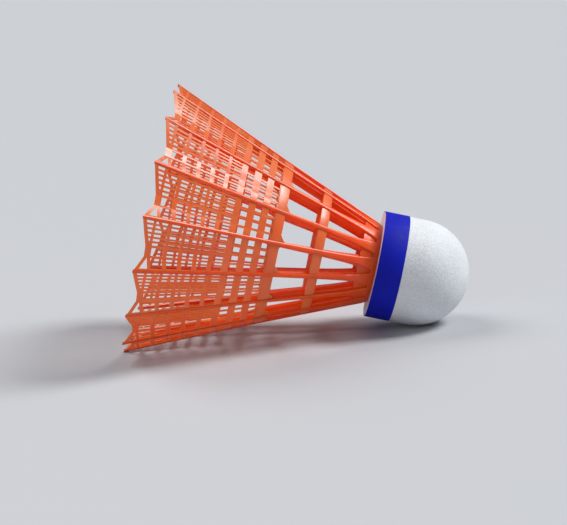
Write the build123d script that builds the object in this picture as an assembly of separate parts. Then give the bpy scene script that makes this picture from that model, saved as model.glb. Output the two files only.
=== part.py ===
from build123d import *
import math
import os

# Badminton shuttlecock with a moulded net skirt and a covered cork base, stored lying down:
# the dome and two neighbouring stem tips touch the ground plane.
# Local frame used while modelling: +Z along the shuttle axis from the base towards the rim, origin on
# the axis at the flat end face of the base, +X towards the ground side. Units are millimetres.

# ---- base ----
BASE_R = 13.0            # outside radius of the covered base
NOSE_S = -23.37          # tip of the dome
CYL_S = -10.37           # where the straight side ends and the hemispherical dome begins
COVER_T = 0.6            # thickness of the cover skin
FACING_T = 0.5           # thickness of the facing ring on the flat end
BAND_W = 6.07            # width of the band round the straight side
BAND_T = 0.1             # thickness of the band tape
CORK_SPLIT = -11.4       # joint between the two corks
CORK_GLUE = 0.1          # glue film between the two corks
BORE_R = 7.7             # blind bore in the upper cork
BORE_BOTTOM = -9.2
SPIGOT_R = 7.5           # plug of the skirt inside the bore
SPIGOT_IN_R = 6.7
SPIGOT_S = -9.0

# ---- skirt ----
N = 16                   # stems
PITCH = 360.0 / N
HALF = math.radians(PITCH / 2)
COLLAR_R0 = 9.6          # collar radius on the base's end face
COLLAR_TOP = 2.5
WEB_TOP = 4.4            # top edge of the thin webs between the stem roots
JOIN_S = 26.3            # end of the throat ring: the deep stems end, the thin ridges begin
RIM_S = 55.8             # stem tips
JOIN_R = 20.56           # ridge radius at JOIN_S
RIM_R = 33.43            # ridge radius at RIM_S
TAIL = (13.5, 15.8)      # free hoop between the two rows of large windows
THROAT = (24.0, 26.3)    # hoop where the net begins
HOOP_T = 0.8             # thickness of both hoops
GUSSET = (1.4, 2.2)      # axial and sideways size of the small corner gusset
RIDGE_W = 0.95           # width of a ridge in the net
RIDGE_D = 1.6            # depth of a ridge in the net
NET_T = 0.3              # thickness of the net
COARSE_END = 35.4        # end of the coarse net, start of the fine net

# net windows, along the axis
COARSE_ROWS = [(26.6, 28.1), (29.7, 31.3), (32.95, 34.8)]
FINE_ROWS = [(36.3, 38.65), (39.65, 42.1), (43.05, 45.45), (46.4, 48.85), (49.8, 52.35)]
RIM_ROW = 53.15
RIM_EDGE = 0.85
# windows across one gap, as fractions from stem k to stem k-1
COARSE_F = [(0.0, 0.498, [(0.06, 0.243), (0.291, 0.476)]), (0.498, 0.738, [(0.522, 0.716)]), (0.738, 1.0, [(0.761, 0.94)])]


def widening(f):
    """The slits stand a little further apart towards the deepest fold."""
    return f * (1 + 0.09 * f)


SLITS = [(widening(0.046 + 0.0815 * i), widening(0.088 + 0.0815 * i)) for i in range(6)]
FOLD_1 = 0.54            # deepest fold line
FOLD_2 = 0.738           # second fold line
FINE_F = [(0.0, FOLD_1, SLITS), (FOLD_1, FOLD_2, [(0.563, 0.72)]), (FOLD_2, 1.0, [(0.757, 0.943)])]
RIM_CUT = {0.0: 55.8, FOLD_1: 54.1, FOLD_2: 54.0, 1.0: 55.8}
# depth of the net's outer face below the ridge line: (start, end) of each axial length
COARSE_D = {0.0: (0.4, 0.35), 0.498: (0.65, 0.78), 0.738: (0.65, 0.72), 1.0: (0.4, 0.35)}
FINE_D = {0.0: (0.35, 0.1), FOLD_1: (0.8, 2.0), FOLD_2: (0.72, 1.7), 1.0: (0.35, 0.1)}

os.makedirs("parts", exist_ok=True)


def lerp(a, b, t):
    return a + (b - a) * t


def ridge_r(s):
    """Outer radius of a stem at axial position s."""
    if s <= JOIN_S:
        return lerp(10.6, JOIN_R, (s - COLLAR_TOP) / (JOIN_S - COLLAR_TOP))
    return lerp(JOIN_R, RIM_R, (s - JOIN_S) / (RIM_S - JOIN_S))


def poly_wire(pts):
    return Wire.make_polygon([Vector(*p) for p in pts], close=True)


def loft_of(sections):
    return Solid.make_loft([poly_wire(p) for p in sections], ruled=True)


def ring_of(points):
    """Full ring from a polygon of (radius, s) points."""
    face = Plane.XZ * make_face(Polyline(*points, points[0]))
    return revolve(face, Axis.Z, 360)


def sector_of(points):
    """One pitch of a ring, centred on the +X direction."""
    face = Plane.XZ * make_face(Polyline(*points, points[0]))
    return revolve(face, Axis.Z, PITCH).rotate(Axis.Z, -PITCH / 2)


def around(shape, offset):
    return [shape.rotate(Axis.Z, offset + PITCH * i) for i in range(N)]


# ---------------------------------------------------------------- stems
def lower_section(s, ridge, flange, depth):
    """Deep rib: a narrow ridge outside and a slightly wider flange inside."""
    r = ridge_r(s)
    return [
        (r, ridge / 2, s), (r, -ridge / 2, s),
        (r - 0.95, -ridge / 2, s), (r - 1.1, -flange / 2, s),
        (r - depth, -flange / 2, s), (r - depth, flange / 2, s),
        (r - 1.1, flange / 2, s), (r - 0.95, ridge / 2, s),
    ]


lower_stem = loft_of([
    lower_section(COLLAR_TOP, 2.0, 2.4, 2.45),
    lower_section(6.0, 1.3, 1.9, 2.4),
    lower_section(TAIL[0], 1.0, 1.52, 2.35),
    lower_section(JOIN_S, 0.95, 1.3, 2.25),
])


def upper_section(s):
    r = ridge_r(s)
    w = RIDGE_W / 2
    return [
        (r, w, s),
        (r, -w, s),
        (r - RIDGE_D * math.cos(HALF), -w + RIDGE_D * math.sin(HALF), s),
        (r - RIDGE_D * math.cos(HALF), w - RIDGE_D * math.sin(HALF), s),
    ]


upper_stem = loft_of([upper_section(JOIN_S), upper_section(RIM_S)])
lower_stems = around(lower_stem, PITCH / 2)
upper_stems = around(upper_stem, PITCH / 2)
# the two stems that bound the gap centred on +X
stem_k = lower_stem.rotate(Axis.Z, PITCH / 2)
stem_k1 = lower_stem.rotate(Axis.Z, -PITCH / 2)

# ---------------------------------------------------------------- collar, spigot and hoops
collar = ring_of([(SPIGOT_IN_R, 0), (COLLAR_R0, 0), (10.6, COLLAR_TOP), (7.5, COLLAR_TOP)])
spigot = ring_of([(SPIGOT_IN_R, SPIGOT_S), (SPIGOT_R, SPIGOT_S), (SPIGOT_R, 0), (SPIGOT_IN_R, 0)])


def hoop_sector(s0, s1, drop, thick):
    return sector_of([
        (ridge_r(s0) - drop - thick, s0), (ridge_r(s0) - drop, s0),
        (ridge_r(s1) - drop, s1), (ridge_r(s1) - drop - thick, s1),
    ])


def one(shape):
    return max(shape.solids(), key=lambda v: v.volume)


web = one(hoop_sector(COLLAR_TOP, WEB_TOP, 1.0, 1.1) - stem_k - stem_k1)
tail_piece = one(hoop_sector(TAIL[0], TAIL[1], 0.35, HOOP_T) - stem_k - stem_k1)
throat_piece = one(hoop_sector(THROAT[0], THROAT[1], 0.35, HOOP_T) - stem_k - stem_k1)

g_face = make_face(Polyline(
    (-ridge_r(THROAT[0]) * math.sin(HALF), THROAT[0]),
    (-ridge_r(THROAT[0]) * math.sin(HALF) + GUSSET[1], THROAT[0]),
    (-ridge_r(THROAT[0]) * math.sin(HALF), THROAT[0] - GUSSET[0]),
    (-ridge_r(THROAT[0]) * math.sin(HALF), THROAT[0]),
))
g_prism = extrude(Plane.YZ * g_face, 40)
gusset = one((hoop_sector(THROAT[0] - GUSSET[0], THROAT[0], 0.35, HOOP_T) & g_prism) - stem_k - stem_k1)


# ---------------------------------------------------------------- net panels
def net_point(f, s, depth):
    """Point of the net's outer face at fraction f of the gap."""
    r = ridge_r(s)
    if f in (0.0, 1.0):
        x = r * math.cos(HALF) + RIDGE_W / 2 * math.sin(HALF)
        y = r * math.sin(HALF) - RIDGE_W / 2 * math.cos(HALF)
        return (x - depth, y if f == 0.0 else -y, s)
    psi = math.radians((0.5 - f) * PITCH)
    return ((r - depth) * math.cos(psi), (r - depth) * math.sin(psi), s)


def panel(f0, f1, s0, ends, depths, windows):
    """Thin plate between two fold lines, with its windows cut through."""
    def dep(f, s):
        d0, d1 = depths[f]
        return lerp(d0, d1, (s - s0) / (ends["span"]))

    def section(sa, sb):
        a = net_point(f0, sa, dep(f0, sa))
        b = net_point(f1, sb, dep(f1, sb))
        return [a, b, (b[0] - NET_T, b[1], b[2]), (a[0] - NET_T, a[1], a[2])]

    plate = loft_of([section(s0, s0), section(ends[f0], ends[f1])])
    tools = []
    for (sa, sb, fa, fb, sb2) in windows:
        def t(f, s):
            d = lerp(dep(f0, s), dep(f1, s), (f - f0) / (f1 - f0))
            return (ridge_r(s) - d) * math.sin(math.radians((0.5 - f) * PITCH))
        pts = [(t(fa, sa), sa), (t(fb, sa), sa), (t(fb, sb2), sb2), (t(fa, sb), sb)]
        clean = [pts[0]]
        for q in pts[1:]:
            if math.dist(q, clean[-1]) > 0.02:
                clean.append(q)
        tools.append(extrude(Plane.YZ * make_face(Polyline(*clean, clean[0])), 45))
    return one(plate.cut(*tools)) if tools else plate


def rim_s(f):
    keys = sorted(RIM_CUT)
    for a, b in zip(keys[:-1], keys[1:]):
        if a <= f <= b:
            return lerp(RIM_CUT[a], RIM_CUT[b], (f - a) / (b - a))


coarse = []
for f0, f1, cols in COARSE_F:
    wins = [(a, b, fa, fb, b) for a, b in COARSE_ROWS for fa, fb in cols]
    coarse.append(panel(f0, f1, JOIN_S, {f0: COARSE_END, f1: COARSE_END, "span": COARSE_END - JOIN_S}, COARSE_D, wins))

fine = []
for f0, f1, cols in FINE_F:
    wins = [(a, b, fa, fb, b) for a, b in FINE_ROWS for fa, fb in cols]
    if f0 != FOLD_1:
        for fa, fb in cols:
            ta, tb = rim_s(fa) - RIM_EDGE, rim_s(fb) - RIM_EDGE
            if f0 == FOLD_2 and ta < RIM_ROW:
                fa = fa + (fb - fa) * (RIM_ROW + 0.08 - ta) / (tb - ta)
                ta = RIM_ROW + 0.08
            if min(ta, tb) > RIM_ROW + 0.05:
                wins.append((RIM_ROW, ta, fa, fb, tb))
    fine.append(panel(f0, f1, COARSE_END, {f0: RIM_CUT[f0], f1: RIM_CUT[f1], "span": RIM_S - COARSE_END}, FINE_D, wins))


# ---------------------------------------------------------------- base
def dome_face(radius, tip, top):
    """Half profile of a round-nosed body: straight side, then a quarter circle to the tip."""
    k = math.sqrt(0.5)
    side = Line((radius, top), (radius, CYL_S))
    arc = ThreePointArc((radius, CYL_S), (radius * k, CYL_S - (CYL_S - tip) * k), (0, tip))
    return make_face([side, arc, Polyline((0, tip), (0, top), (radius, top))])


def turned(face):
    return revolve(Plane.XZ * face, Axis.Z, 360)


def block(s0, s1, r0=0.0, r1=40.0):
    return make_face(Polyline((r0, s0), (r1, s0), (r1, s1), (r0, s1), (r0, s0)))


outer = dome_face(BASE_R, NOSE_S, -FACING_T)
inner = dome_face(BASE_R - COVER_T, NOSE_S + COVER_T, -FACING_T)
cover_skin = one(turned(outer - inner))
cork_nose = one(turned(inner & block(NOSE_S - 5, CORK_SPLIT)))
cork_glue = one(turned(inner & block(CORK_SPLIT, CORK_SPLIT + CORK_GLUE)))
cork_disc = one(turned((inner & block(CORK_SPLIT + CORK_GLUE, -FACING_T)) - block(BORE_BOTTOM, 1.0, 0.0, BORE_R)))
facing = ring_of([(BORE_R, -FACING_T), (BASE_R, -FACING_T), (BASE_R, 0), (BORE_R, 0)])
band = ring_of([(BASE_R, -BAND_W), (BASE_R + BAND_T, -BAND_W), (BASE_R + BAND_T, 0), (BASE_R, 0)])
bore_glue = ring_of([(SPIGOT_R, SPIGOT_S), (BORE_R, SPIGOT_S), (BORE_R, -FACING_T), (SPIGOT_R, -FACING_T)])


# ---------------------------------------------------------------- lying pose
def touch(tau):
    """Height of the tip pair above the lowest point of the dome for a tilt tau."""
    tips = RIM_S * math.sin(tau) - (RIM_R * math.cos(HALF) + RIDGE_W / 2 * math.sin(HALF)) * math.cos(tau)
    dome = CYL_S * math.sin(tau) - BASE_R
    return tips - dome


lo, hi = math.radians(5), math.radians(35)
for _ in range(60):
    mid = (lo + hi) / 2
    if touch(mid) < 0:
        lo = mid
    else:
        hi = mid
TILT = (lo + hi) / 2

nodes = {
    "skirt_spigot": [spigot],
    "skirt_collar": [collar],
    "skirt_collar_webs": around(web, 0),
    "skirt_lower_stems": lower_stems,
    "skirt_upper_stems": upper_stems,
    "skirt_tail_hoop": around(tail_piece, 0),
    "skirt_throat_hoop": around(throat_piece, 0),
    "skirt_throat_gussets": around(gusset, 0),
    "coarse_net_wide_panels": around(coarse[0], 0),
    "coarse_net_middle_panels": around(coarse[1], 0),
    "coarse_net_side_panels": around(coarse[2], 0),
    "fine_net_slit_panels": around(fine[0], 0),
    "fine_net_fold_panels": around(fine[1], 0),
    "fine_net_return_panels": around(fine[2], 0),
    "cover_skin": [cover_skin],
    "facing_ring": [facing],
    "band_tape": [band],
    "cork_nose": [cork_nose],
    "cork_disc": [cork_disc],
    "cork_joint_glue": [cork_glue],
    "bore_glue": [bore_glue],
}

down = Vector(-math.sin(TILT), 0, -math.cos(TILT))
axis = Vector(-math.cos(TILT), 0, math.sin(TILT))
lay = Plane(origin=(0, 0, 0), x_dir=down, z_dir=axis).location
boxes = [s.moved(lay).bounding_box() for s in upper_stems + [cover_skin]]
x0, x1 = min(b.min.X for b in boxes), max(b.max.X for b in boxes)
y0, y1 = min(b.min.Y for b in boxes), max(b.max.Y for b in boxes)
z0 = min(b.min.Z for b in boxes)
place = Location((-(x0 + x1) / 2, -(y0 + y1) / 2, -z0)) * lay

print("tilt", round(math.degrees(TILT), 4), "origin at", [round(v, 4) for v in tuple(place.position)])
for name, solids in nodes.items():
    moved = [s.moved(place) for s in solids]
    group = moved[0] if len(moved) == 1 else Compound(moved)
    print(name, len(moved), round(sum(s.volume for s in moved), 3))
    export_step(group, "parts/" + name + ".step")
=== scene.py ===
import math

import bmesh
import bpy
import numpy as np
from mathutils import Matrix, Vector


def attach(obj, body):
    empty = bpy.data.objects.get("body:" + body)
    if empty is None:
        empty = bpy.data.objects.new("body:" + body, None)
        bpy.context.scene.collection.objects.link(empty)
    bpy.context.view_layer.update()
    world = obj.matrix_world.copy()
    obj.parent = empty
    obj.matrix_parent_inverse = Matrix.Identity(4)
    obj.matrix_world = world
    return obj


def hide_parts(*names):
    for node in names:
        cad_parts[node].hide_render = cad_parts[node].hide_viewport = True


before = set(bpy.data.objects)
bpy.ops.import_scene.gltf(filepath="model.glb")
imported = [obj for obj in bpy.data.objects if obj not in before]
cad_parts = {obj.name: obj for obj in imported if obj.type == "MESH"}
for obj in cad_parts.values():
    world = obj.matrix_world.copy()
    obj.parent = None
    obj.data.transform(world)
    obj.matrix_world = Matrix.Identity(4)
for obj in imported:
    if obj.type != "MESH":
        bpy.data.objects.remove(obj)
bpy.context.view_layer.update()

# ------------------------------------------------------------------ shuttle frame
# s runs along the shuttle axis from the flat end of the base (0) to the rim, r is the distance from
# the axis and phi the angle round it, 0 towards the ground. All in millimetres.
TILT = math.radians(16.2898)
ORG = np.array([19.9145, 0.0, 15.9087])
AX = np.array([-math.cos(TILT), 0.0, math.sin(TILT)])
DN = np.array([-math.sin(TILT), 0.0, -math.cos(TILT)])
SD = np.cross(AX, DN)
N = 16
PITCH = 2 * math.pi / N
HALF = PITCH / 2


def to_row(p):
    """(x, y, z) of the shuttle frame in mm to the row frame in metres."""
    p = np.asarray(p, float).reshape(-1, 3)
    return (ORG + p[:, :1] * DN + p[:, 1:2] * SD + p[:, 2:3] * AX) / 1000.0


def spin(p, ang):
    p = np.asarray(p, float).reshape(-1, 3)
    c, s = math.cos(ang), math.sin(ang)
    q = p.copy()
    q[:, 0] = p[:, 0] * c - p[:, 1] * s
    q[:, 1] = p[:, 0] * s + p[:, 1] * c
    return q


def lerp(a, b, t):
    return a + (b - a) * t


def table(xs, ys, x):
    return float(np.interp(x, xs, ys))


def ridge_r(s):
    if s <= 26.3:
        return lerp(10.6, 20.56, (s - 2.5) / 23.8)
    return lerp(20.56, 33.43, (s - 26.3) / 29.5)


def make_object(name, verts, faces, smooth=False):
    """Mesh object from shuttle-frame points."""
    me = bpy.data.meshes.new(name)
    me.from_pydata([tuple(v) for v in to_row(verts)], [], faces)
    me.validate()
    bm = bmesh.new()
    bm.from_mesh(me)
    bmesh.ops.recalc_face_normals(bm, faces=bm.faces)
    bm.to_mesh(me)
    bm.free()
    for p in me.polygons:
        p.use_smooth = smooth
    ob = bpy.data.objects.new(name, me)
    bpy.context.scene.collection.objects.link(ob)
    return ob


def bevel(ob, width, segments=2, angle=38):
    m = ob.modifiers.new("edge", "BEVEL")
    m.width = width / 1000.0
    m.segments = segments
    m.limit_method = "ANGLE"
    m.angle_limit = math.radians(angle)
    m.harden_normals = False
    m.use_clamp_overlap = True
    return m


def shade(ob, angle=35):
    """Smooth shading except over sharp folds."""
    me = ob.data
    for p in me.polygons:
        p.use_smooth = True
    bm = bmesh.new()
    bm.from_mesh(me)
    for e in bm.edges:
        if len(e.link_faces) == 2:
            e.smooth = e.calc_face_angle(0.0) < math.radians(angle)
    bm.to_mesh(me)
    bm.free()


def all_round(verts, faces):
    """N copies round the axis."""
    vs, fs = [], []
    for k in range(N):
        base = len(vs) * 0 + sum(len(v) for v in vs)
        vs.append(spin(verts, k * PITCH))
        fs += [tuple(i + base for i in f) for f in faces]
    return np.vstack(vs), fs


# ------------------------------------------------------------------ net of the skirt
F1, F2 = 0.54, 0.738
RIDGE_W = 0.9
COARSE_ROWS = [(26.5, 28.1), (29.7, 31.25), (32.95, 34.75)]
FINE_ROWS = [(36.3, 38.65), (39.65, 42.1), (43.05, 45.45), (46.4, 48.85), (49.8, 52.4)]
COARSE_WIN = [(0.065, 0.243), (0.297, 0.476), (0.53, 0.714), (0.766, 0.94)]


def widening(f):
    """The slits stand a little further apart towards the deepest fold."""
    return f * (1 + 0.09 * f)


SLITS = [(widening(0.0435 + 0.0815 * i), widening(0.0885 + 0.0815 * i)) for i in range(6)]
FINE_WIN = SLITS + [(0.563, 0.72), (0.757, 0.943)]
RIM_ROW = 53.15
RIM_EDGE = 0.85
NET_T = 0.28


def rim_s(f):
    return table([0, F1, F2, 1], [55.75, 54.1, 54.0, 55.75], f)


def depth(f, s):
    """How far the net lies below the line of the ridges."""
    ss = [26.3, 33.0, 36.4, 40.0, 44.0, 47.6, 51.1, 54.0, 55.8]
    d0 = table(ss, [0.36, 0.34, 0.3, 0.26, 0.22, 0.2, 0.16, 0.12, 0.1], s)
    d1 = table(ss, [0.62, 0.7, 0.85, 1.12, 1.35, 1.52, 1.72, 1.95, 2.0], s)
    d2 = table(ss, [0.62, 0.68, 0.75, 1.0, 1.15, 1.28, 1.45, 1.65, 1.7], s)
    d3 = d0
    return table([0, F1, F2, 1], [d0, d1, d2, d3], f)


def net_ctrl(f, s):
    """Control point of the folded net on a fold line or at a stem, in the gap's frame."""
    r = ridge_r(s)
    if f in (0.0, 1.0):
        w = RIDGE_W * 0.3
        x = r * math.cos(HALF) + w * math.sin(HALF) - depth(f, s)
        y = r * math.sin(HALF) - w * math.cos(HALF)
        return np.array([x, y if f == 0.0 else -y, s])
    psi = (0.5 - f) * PITCH
    return np.array([(r - depth(f, s)) * math.cos(psi), (r - depth(f, s)) * math.sin(psi), s])


def net_point(f, s, s_out=None):
    lines = [0.0, F1, F2, 1.0]
    r = ridge_r(s)
    edge = RIDGE_W * 0.3 / (r * PITCH)
    real = [edge, F1, F2, 1 - edge]
    f = min(max(f, real[0]), real[3])
    for a in range(3):
        if f <= real[a + 1] + 1e-9:
            t = (f - real[a]) / (real[a + 1] - real[a])
            p = lerp(net_ctrl(lines[a], s), net_ctrl(lines[a + 1], s), t)
            # panels are very slightly crowned
            p[0] += 0.10 * math.sin(math.pi * t) * (1 if a != 1 else 0.3)
            break
    if s_out is not None:
        p[2] = s_out
    return p


def slant(f, s):
    """Hoops of the fine net run a little towards the base on the steep side of each fold."""
    amt = table([26, 37, 42, 48, 53.5, 56], [0, 0.0, 0.25, 0.45, 0.62, 0.62], s)
    up = table([26, 38, 53.5, 56], [0, 0, 0.22, 0.22], s)
    return table([0, F1, F2, 1], [0, up, up * 0.8, -amt], f)


def build_net():
    fl = sorted({0.0, 1.0, F1, F2} | {v for w in COARSE_WIN + FINE_WIN for v in w}
                | {0.36, 0.64, 0.85, 0.15})
    fl = [f for f in fl]
    # split wide spans so that the crown shows
    rows = []          # (s_lo, s_hi, windows)
    rows.append((26.25, 26.5, []))
    for i, (a, b) in enumerate(COARSE_ROWS):
        rows.append((a, b, COARSE_WIN))
        nxt = COARSE_ROWS[i + 1][0] if i + 1 < len(COARSE_ROWS) else FINE_ROWS[0][0]
        rows.append((b, nxt, []))
    for i, (a, b) in enumerate(FINE_ROWS):
        rows.append((a, b, FINE_WIN))
        nxt = FINE_ROWS[i + 1][0] if i + 1 < len(FINE_ROWS) else RIM_ROW
        rows.append((b, nxt, []))
    rows.append((RIM_ROW, "edge", "rim"))
    rows.append(("edge", "rim", []))

    lows = {r[0] for r in rows if r[2] is FINE_WIN}
    highs = {r[1] for r in rows if r[2] is FINE_WIN}

    def level(v, f):
        if v == "rim":
            return rim_s(f)
        if v == "edge":
            return max(rim_s(f) - RIM_EDGE, RIM_ROW + slant(f, RIM_ROW) + 0.04)
        more = 0.12 * table([0.0, 0.5, 0.53, 1.0], [1, 1, 0, 0], f)
        return v + slant(f, v) + (more if v in highs else -more if v in lows else 0.0)

    levels = [rows[0][0]] + [r[1] for r in rows]
    nf, ns = len(fl), len(levels)
    out_pts, in_pts = [], []
    for j in range(ns):
        for i in range(nf):
            s = level(levels[j], fl[i])
            p = net_point(fl[i], s)
            q = p.copy()
            q[0] -= NET_T
            out_pts.append(p)
            in_pts.append(q)
    verts = np.array(out_pts + in_pts)
    M = nf * ns

    def hole(i, j):
        if i < 0 or j < 0 or i >= nf - 1 or j >= ns - 1:
            return True
        wins = rows[j][2]
        mid = 0.5 * (fl[i] + fl[i + 1])
        if wins == "rim":
            room = lambda f: (rim_s(f) - RIM_EDGE) - (RIM_ROW + slant(f, RIM_ROW))
            if min(room(fl[i]), room(fl[i + 1])) < 0.0 and max(room(fl[i]), room(fl[i + 1])) < 0.3:
                return False
            wins = SLITS + [(0.757, 0.943)]
        return any(a - 1e-6 <= fl[i] and fl[i + 1] <= b + 1e-6 for a, b in wins) and True

    faces = []
    for j in range(ns - 1):
        for i in range(nf - 1):
            if hole(i, j):
                continue
            a, b, c, d = j * nf + i, j * nf + i + 1, (j + 1) * nf + i + 1, (j + 1) * nf + i
            faces.append((a, b, c, d))
            faces.append((M + a, M + d, M + c, M + b))
            if hole(i, j - 1):
                faces.append((a, M + a, M + b, b))
            if hole(i, j + 1):
                faces.append((d, c, M + c, M + d))
            if hole(i - 1, j):
                faces.append((a, d, M + d, M + a))
            if hole(i + 1, j):
                faces.append((b, M + b, M + c, c))
    used = sorted({v for f in faces for v in f})
    remap = {v: n for n, v in enumerate(used)}
    verts = verts[used]
    faces = [tuple(remap[v] for v in f) for f in faces]
    return all_round(verts, faces)


nv, nfaces = build_net()
net = make_object("net", nv, nfaces)
bevel(net, 0.06, 2, 42)


# ------------------------------------------------------------------ stems
def sweep(sections, close_ends=True):
    """Loft between closed sections with the same number of points."""
    n = len(sections[0])
    verts = np.vstack(sections)
    faces = []
    for k in range(len(sections) - 1):
        for i in range(n):
            a, b = k * n + i, k * n + (i + 1) % n
            faces.append((a, b, b + n, a + n))
    if close_ends:
        faces.append(tuple(reversed(range(n))))
        faces.append(tuple(range((len(sections) - 1) * n, len(sections) * n)))
    return verts, faces


def stem_section(s):
    """Narrow rounded ridge outside, a slightly wider flange inside; a plain blade in the net."""
    r = ridge_r(s)
    w = table([0, 1.3, 2.5, 4.5, 6, 9, 13.5, 24, 30, 50, 55.8], [3.3, 3.0, 2.5, 1.95, 1.68, 1.36, 1.14, 0.92, 0.88, 0.86, 0.7], s) / 2
    f = table([0, 2.5, 4.7, 7.3, 10, 13.5, 22, 26.3, 28.5, 55.8], [1.5, 1.5, 1.4, 1.18, 1.02, 0.9, 0.7, 0.64, 0.4, 0.32], s)
    dep = table([0, 2.5, 6, 24, 26.3, 28.5, 40, 55.8], [2.2, 2.4, 2.35, 2.3, 2.2, 1.6, 1.4, 0.75], s)
    step = table([0, 24, 26.3, 28.5, 55.8], [0.9, 0.95, 0.9, 0.6, 0.35], s)
    c = 0.17
    half = [(r, max(w - c * 2.0, w * 0.4)), (r - c * 0.3, w - c * 0.7), (r - c, w), (r - step, w), (r - step - 0.16, f), (r - dep, f)]
    pts = half[::-1] + [(x, -y) for x, y in half]
    return np.array([(x, y, s) for x, y in pts])


stations = [0.9, 1.8, 2.5, 3.4, 4.5, 6, 7.5, 9, 11, 13.5, 16, 19, 22, 24, 26.3, 27.4, 28.5, 31, 34, 38, 42, 46, 50, 53.5, 55.2, 55.8]
sv, sf = sweep([stem_section(s) for s in stations])
sv, sf = all_round(spin(sv, HALF), sf)
stems = make_object("stems", sv, sf)
bevel(stems, 0.1, 2, 48)


# ------------------------------------------------------------------ hoops, webs, gussets and collar
def arc_band(section, steps, f0=0.0, f1=1.0):
    """Closed (r, s) section carried from stem k to stem k-1 of the gap centred on phi 0."""
    secs = []
    for i in range(steps + 1):
        psi = (0.5 - lerp(f0, f1, i / steps)) * PITCH
        secs.append(np.array([(r * math.cos(psi), r * math.sin(psi), s) for r, s in section]))
    return sweep(secs, True)


def band_section(s0, s1, drop, thick, crown=0.0):
    n = 5
    top = []
    for i in range(n + 1):
        s = lerp(s0, s1, i / n)
        top.append((ridge_r(s) - drop + crown * math.sin(math.pi * i / n), s))
    bot = [(ridge_r(s) - drop - thick, s) for s in (s1, s0)]
    return top + bot


tv, tf = all_round(*arc_band(band_section(13.5, 15.8, 0.45, 0.9, 0.12), 10))
tail = make_object("tail_hoop", tv, tf)
bevel(tail, 0.22, 3, 40)
hv, hf = all_round(*arc_band(band_section(24.0, 26.35, 0.4, 0.75, 0.08), 10))
throat = make_object("throat_hoop", hv, hf)
bevel(throat, 0.15, 2, 40)
wv, wf = all_round(*arc_band(band_section(1.2, 4.5, 0.5, 1.62, 0.0), 8))
webs = make_object("collar_webs", wv, wf)
bevel(webs, 0.15, 2, 40)


def gusset():
    """Small corner web between the throat hoop and the stem on the steep side."""
    s1, s0 = 24.1, 22.6
    r1, r0 = ridge_r(s1) - 0.42, ridge_r(s0) - 0.42
    y1, y0 = -r1 * math.sin(HALF), -r0 * math.sin(HALF)
    x1, x0 = r1 * math.cos(HALF), r0 * math.cos(HALF)
    a = [(x1, y1 + 0.1, s1), (x1 + 0.35, y1 + 2.25, s1), (x0, y0 + 0.1, s0)]
    b = [(x - 0.7, y, s) for x, y, s in a]
    return np.array(a + b), [(0, 1, 2), (5, 4, 3), (0, 3, 4, 1), (1, 4, 5, 2), (2, 5, 3, 0)]


gv, gf = all_round(*gusset())
gussets = make_object("throat_gussets", gv, gf)
bevel(gussets, 0.08, 2, 40)


def turned(name, prof, steps=192, closed=True):
    """Surface of revolution of a closed (r, s) profile."""
    n = len(prof)
    verts, faces = [], []
    for k in range(steps):
        a = 2 * math.pi * k / steps
        verts += [(r * math.cos(a), r * math.sin(a), s) for r, s in prof]
    for k in range(steps):
        for i in range(n if closed else n - 1):
            j = (i + 1) % n
            k2 = (k + 1) % steps
            faces.append((k * n + i, k2 * n + i, k2 * n + j, k * n + j))
    ob = make_object(name, np.array(verts), faces)
    bm = bmesh.new()
    bm.from_mesh(ob.data)
    bmesh.ops.remove_doubles(bm, verts=bm.verts, dist=1e-7)
    bmesh.ops.dissolve_degenerate(bm, dist=1e-8, edges=bm.edges)
    bmesh.ops.recalc_face_normals(bm, faces=bm.faces)
    bm.to_mesh(ob.data)
    bm.free()
    return ob


collar = turned("collar", [(6.7, 0.02), (9.3, 0.02), (9.5, 0.08), (9.62, 0.25), (9.95, 1.05), (9.93, 1.25), (9.78, 1.4), (9.5, 1.45), (9.5, 2.45), (8.2, 2.5), (7.3, 2.45), (7.2, 2.3), (6.7, 0.3)])
spigot = turned("spigot", [(6.7, 0.1), (7.45, 0.1), (7.45, -8.9), (7.3, -9.0), (6.85, -9.0), (6.7, -8.9)], 96)


# ------------------------------------------------------------------ base
def cover_profile():
    pts = [(12.4, -0.5), (12.85, -0.5), (12.97, -0.56), (13.0, -0.7)]
    for i in range(1, 40):
        pts.append((13.0, lerp(-0.7, -10.37, i / 40)))
    for i in range(0, 91):
        a = math.radians(i)
        pts.append((13.0 * math.cos(a), -10.37 - 13.0 * math.sin(a)))
    pts[-1] = (0.0, -23.37)
    pts.append((0.0, -22.77))
    for i in range(89, -1, -3):
        a = math.radians(i)
        pts.append((12.4 * math.cos(a), -10.37 - 12.4 * math.sin(a)))
    return pts


cover = turned("cover", cover_profile(), 256)
facing = turned("facing", [(7.7, -0.5), (12.95, -0.5), (12.98, -0.12), (12.9, -0.03), (12.75, 0.0), (7.75, 0.0)], 192)
band = turned("band", [(13.0, -6.07), (13.07, -6.07), (13.1, -6.02), (13.1, -0.06), (13.08, -0.01), (13.0, 0.0)], 256)

for ob in (stems, net, tail, throat, webs, gussets, collar, spigot, cover, facing, band):
    shade(ob)


# ------------------------------------------------------------------ materials
def srgb(r, g, b):
    def f(v):
        v /= 255.0
        return v / 12.92 if v <= 0.04045 else ((v + 0.055) / 1.055) ** 2.4
    return (f(r), f(g), f(b), 1.0)


def new_mat(name):
    m = bpy.data.materials.new(name)
    m.use_nodes = True
    nt = m.node_tree
    bsdf = next(n for n in nt.nodes if n.type == "BSDF_PRINCIPLED")
    return m, nt, bsdf


def noise(nt, scale, detail=4.0, rough=0.5, coords=None, dims="3D"):
    n = nt.nodes.new("ShaderNodeTexNoise")
    n.inputs["Scale"].default_value = scale
    n.inputs["Detail"].default_value = detail
    n.inputs["Roughness"].default_value = rough
    if coords is not None:
        nt.links.new(coords, n.inputs["Vector"])
    return n


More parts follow.
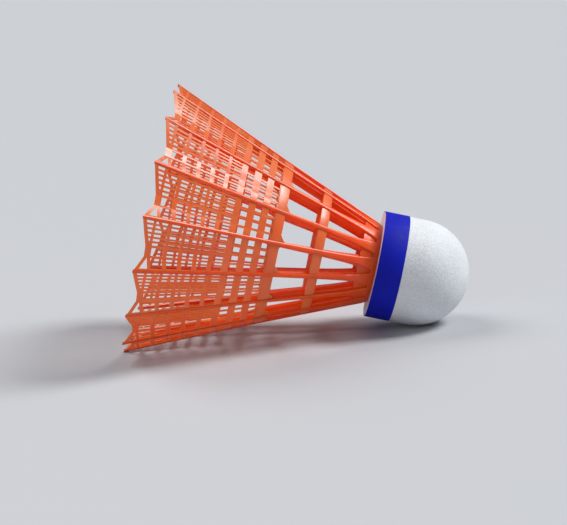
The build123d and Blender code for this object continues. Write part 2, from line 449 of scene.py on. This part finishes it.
def ramp(nt, src, stops):
    r = nt.nodes.new("ShaderNodeValToRGB")
    els = r.color_ramp.elements
    while len(els) < len(stops):
        els.new(0.5)
    for e, (p, c) in zip(els, stops):
        e.position = p
        e.color = c
    nt.links.new(src, r.inputs["Fac"])
    return r


def maprange(nt, src, lo, hi):
    m = nt.nodes.new("ShaderNodeMapRange")
    m.inputs["From Min"].default_value = 0.3
    m.inputs["From Max"].default_value = 0.7
    m.inputs["To Min"].default_value = lo
    m.inputs["To Max"].default_value = hi
    nt.links.new(src, m.inputs["Value"])
    return m


def nylon(name, col_a, col_b, sss, rough, trans):
    """Moulded translucent nylon: flow streaks in the colour, fine orange peel in the surface."""
    m, nt, b = new_mat(name)
    co = nt.nodes.new("ShaderNodeTexCoord").outputs["Object"]
    n1 = noise(nt, 90, 3, 0.55, co)
    n2 = noise(nt, 900, 4, 0.6, co)
    r = ramp(nt, n1.outputs["Fac"], [(0.30, col_a), (0.70, col_b)])
    nt.links.new(r.outputs["Color"], b.inputs["Base Color"])
    rr = maprange(nt, n2.outputs["Fac"], rough - 0.06, rough + 0.08)
    nt.links.new(rr.outputs["Result"], b.inputs["Roughness"])
    bump = nt.nodes.new("ShaderNodeBump")
    bump.inputs["Strength"].default_value = 0.18
    bump.inputs["Distance"].default_value = 0.0001
    nt.links.new(n2.outputs["Fac"], bump.inputs["Height"])
    nt.links.new(bump.outputs["Normal"], b.inputs["Normal"])
    b.inputs["Subsurface Weight"].default_value = sss
    b.inputs["Subsurface Radius"].default_value = (1.0, 0.32, 0.1)
    b.inputs["Subsurface Scale"].default_value = 0.0022
    b.inputs["Transmission Weight"].default_value = trans
    b.inputs["IOR"].default_value = 1.53
    b.inputs["Coat Weight"].default_value = 0.08
    b.inputs["Coat Roughness"].default_value = 0.2
    return m


m_stem = nylon("nylon_ribs", srgb(252, 76, 4), srgb(255, 92, 10), 0.65, 0.32, 0.0)
m_net = nylon("nylon_net", srgb(248, 104, 46), srgb(252, 122, 64), 0.6, 0.34, 0.0)
m_collar = nylon("nylon_collar", srgb(255, 62, 4), srgb(255, 78, 8), 0.8, 0.34, 0.0)


def leather():
    m, nt, b = new_mat("cover_leather")
    co = nt.nodes.new("ShaderNodeTexCoord").outputs["Object"]
    n1 = noise(nt, 3000, 5, 0.6, co)
    n2 = noise(nt, 160, 4, 0.5, co)
    n3 = noise(nt, 600, 4, 0.6, co)
    bend = nt.nodes.new("ShaderNodeVectorMath")
    bend.operation = "MULTIPLY_ADD"
    nt.links.new(n3.outputs["Color"], bend.inputs[0])
    bend.inputs[1].default_value = (0.0016, 0.0016, 0.0016)
    nt.links.new(co, bend.inputs[2])
    crease = nt.nodes.new("ShaderNodeTexVoronoi")
    crease.feature = "DISTANCE_TO_EDGE"
    crease.inputs["Scale"].default_value = 900
    nt.links.new(bend.outputs["Vector"], crease.inputs["Vector"])
    deep = nt.nodes.new("ShaderNodeMapRange")
    deep.inputs["From Min"].default_value = 0.0
    deep.inputs["From Max"].default_value = 0.2
    nt.links.new(crease.outputs["Distance"], deep.inputs["Value"])
    grain_height_and_shade = nt.nodes.new("ShaderNodeMath")
    grain_height_and_shade.operation = "MULTIPLY_ADD"
    nt.links.new(deep.outputs["Result"], grain_height_and_shade.inputs[0])
    grain_height_and_shade.inputs[1].default_value = 0.2
    nt.links.new(n1.outputs["Fac"], grain_height_and_shade.inputs[2])
    r = ramp(nt, n2.outputs["Fac"], [(0.3, srgb(226, 230, 234)), (0.7, srgb(238, 241, 244))])
    # Painted shade: the base colour darkens where the bump height is low, in the crease grooves and fine pits. This
    # is partly random grain tone and partly painted shade in those hollows.
    r2 = ramp(nt, grain_height_and_shade.outputs["Value"], [(0.45, srgb(208, 214, 222)), (0.66, srgb(255, 255, 255))])
    mul = nt.nodes.new("ShaderNodeMixRGB")
    mul.blend_type = "MULTIPLY"
    mul.inputs[0].default_value = 0.32
    nt.links.new(r.outputs["Color"], mul.inputs[1])
    nt.links.new(r2.outputs["Color"], mul.inputs[2])
    nt.links.new(mul.outputs["Color"], b.inputs["Base Color"])
    rr = maprange(nt, n1.outputs["Fac"], 0.46, 0.64)
    nt.links.new(rr.outputs["Result"], b.inputs["Roughness"])
    bump = nt.nodes.new("ShaderNodeBump")
    bump.inputs["Strength"].default_value = 0.8
    bump.inputs["Distance"].default_value = 0.00015
    nt.links.new(grain_height_and_shade.outputs["Value"], bump.inputs["Height"])
    nt.links.new(bump.outputs["Normal"], b.inputs["Normal"])
    return m


def tape():
    m, nt, b = new_mat("band_tape_blue")
    co = nt.nodes.new("ShaderNodeTexCoord").outputs["Object"]
    n1 = noise(nt, 700, 5, 0.6, co)
    n2 = noise(nt, 120, 3, 0.5, co)
    r = ramp(nt, n2.outputs["Fac"], [(0.3, srgb(7, 18, 164)), (0.7, srgb(10, 26, 184))])
    nt.links.new(r.outputs["Color"], b.inputs["Base Color"])
    rr = maprange(nt, n1.outputs["Fac"], 0.56, 0.7)
    nt.links.new(rr.outputs["Result"], b.inputs["Roughness"])
    b.inputs["Specular IOR Level"].default_value = 0.18
    bump = nt.nodes.new("ShaderNodeBump")
    bump.inputs["Strength"].default_value = 0.25
    bump.inputs["Distance"].default_value = 0.0001
    nt.links.new(n1.outputs["Fac"], bump.inputs["Height"])
    nt.links.new(bump.outputs["Normal"], b.inputs["Normal"])
    return m


def cork(name, a, c):
    m, nt, b = new_mat(name)
    co = nt.nodes.new("ShaderNodeTexCoord").outputs["Object"]
    v = nt.nodes.new("ShaderNodeTexVoronoi")
    v.inputs["Scale"].default_value = 700
    nt.links.new(co, v.inputs["Vector"])
    r = ramp(nt, v.outputs["Distance"], [(0.1, a), (0.6, c)])
    nt.links.new(r.outputs["Color"], b.inputs["Base Color"])
    n1 = noise(nt, 1500, 4, 0.6, co)
    rr = maprange(nt, n1.outputs["Fac"], 0.7, 0.9)
    nt.links.new(rr.outputs["Result"], b.inputs["Roughness"])
    bump = nt.nodes.new("ShaderNodeBump")
    bump.inputs["Strength"].default_value = 0.5
    bump.inputs["Distance"].default_value = 0.0002
    nt.links.new(v.outputs["Distance"], bump.inputs["Height"])
    nt.links.new(bump.outputs["Normal"], b.inputs["Normal"])
    return m


m_cover = leather()
m_band = tape()
m_cork = cork("cork_grain", srgb(150, 112, 72), srgb(196, 156, 108))
m_glue = cork("dried_glue", srgb(206, 188, 140), srgb(222, 206, 160))

for ob, mat in ((stems, m_stem), (net, m_net), (tail, m_net), (throat, m_net), (webs, m_stem), (gussets, m_net),
                (collar, m_collar), (spigot, m_collar), (cover, m_cover), (facing, m_cover), (band, m_band)):
    ob.data.materials.clear()
    ob.data.materials.append(mat)

skirt_nodes = {
    "stems": ["skirt_lower_stems", "skirt_upper_stems"],
    "net": ["coarse_net_wide_panels", "coarse_net_middle_panels", "coarse_net_side_panels",
            "fine_net_slit_panels", "fine_net_fold_panels", "fine_net_return_panels"],
    "tail_hoop": ["skirt_tail_hoop"],
    "throat_hoop": ["skirt_throat_hoop"],
    "collar_webs": ["skirt_collar_webs"],
    "throat_gussets": ["skirt_throat_gussets"],
    "collar": ["skirt_collar"],
    "spigot": ["skirt_spigot"],
    "cover": ["cover_skin"],
    "facing": ["facing_ring"],
    "band": ["band_tape"],
}
for name, nodes in skirt_nodes.items():
    ob = bpy.data.objects[name]
    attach(ob, "root")
    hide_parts(*nodes)

for node, mat in (("cork_nose", m_cork), ("cork_disc", m_cork), ("cork_joint_glue", m_glue), ("bore_glue", m_glue)):
    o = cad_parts[node]
    o.data.materials.clear()
    o.data.materials.append(mat)

# ------------------------------------------------------------------ floor, light, camera
fl = bpy.data.meshes.new("floor")
fl.from_pydata([(-3, -3, 0), (3, -3, 0), (3, 3, 0), (-3, 3, 0)], [], [(0, 1, 2, 3)])
floor = bpy.data.objects.new("floor", fl)
bpy.context.scene.collection.objects.link(floor)
m, nt, b = new_mat("floor_pale")
b.inputs["Base Color"].default_value = srgb(190, 192, 196)
b.inputs["Roughness"].default_value = 0.75
fl.materials.append(m)


def soft_sun(name, towards, strength, spread, color=(1, 1, 1)):
    """Large far softbox: the same light all over the floor. towards points from the object to the light."""
    d = bpy.data.lights.new(name, "SUN")
    d.energy = strength
    d.angle = math.radians(spread)
    d.color = color
    o = bpy.data.objects.new(name, d)
    o.location = [v * 0.5 for v in towards]
    o.rotation_euler = Vector(towards).to_track_quat("Z", "Y").to_euler()
    bpy.context.scene.collection.objects.link(o)
    return o


soft_sun("key", (0.60, 0.06, 0.66), 2.9, 24, (0.98, 0.99, 1.0))
soft_sun("back", (-0.50, 0.45, 0.85), 1.3, 36)
soft_sun("fill", (-0.5, -0.8, 0.5), 0.34, 60)
w = bpy.data.worlds.new("studio")
w.use_nodes = True
w.node_tree.nodes["Background"].inputs["Color"].default_value = (0.92, 0.95, 1.0, 1)
w.node_tree.nodes["Background"].inputs["Strength"].default_value = 0.16
bpy.context.scene.world = w
bpy.context.scene.view_settings.view_transform = "Standard"

# camera: the fitted viewpoint, given in camera axes (x right, y down, z away)
FPX = 1825.0416
c_cam = np.array([(374.483 - 283.5) * 446.7188 / FPX, (263.6391 - 262.5) * 446.7188 / FPX, 446.7188])
al, be = 3.3428, -0.0204
a_cam = np.array([math.cos(al) * math.cos(be), math.sin(al) * math.cos(be), math.sin(be)])
r1 = -(np.array([0, 0, 1.0]) - a_cam * a_cam[2])
r1 /= np.linalg.norm(r1)
r2 = np.cross(a_cam, r1)
th = math.radians(-0.6 - 4.5 * 22.5)
d_cam = math.cos(th) * r1 + math.sin(th) * r2
e_cam = np.cross(a_cam, d_cam)
R = np.outer(a_cam, AX) + np.outer(d_cam, DN) + np.outer(e_cam, SD)     # row vector to camera vector
cam_pos = (ORG + R.T @ (-c_cam)) / 1000.0
xb, yb, zb = R.T @ np.array([1.0, 0, 0]), -(R.T @ np.array([0, 1.0, 0])), -(R.T @ np.array([0, 0, 1.0]))
mw = Matrix(((xb[0], yb[0], zb[0], cam_pos[0]), (xb[1], yb[1], zb[1], cam_pos[1]), (xb[2], yb[2], zb[2], cam_pos[2]), (0, 0, 0, 1)))
cd = bpy.data.cameras.new("cam")
cd.sensor_width = 36.0
cd.sensor_fit = "HORIZONTAL"
cd.lens = FPX / 567.0 * 36.0
cd.clip_start = 0.01
cam = bpy.data.objects.new("cam", cd)
cam.matrix_world = mw
bpy.context.scene.collection.objects.link(cam)
bpy.context.scene.camera = cam
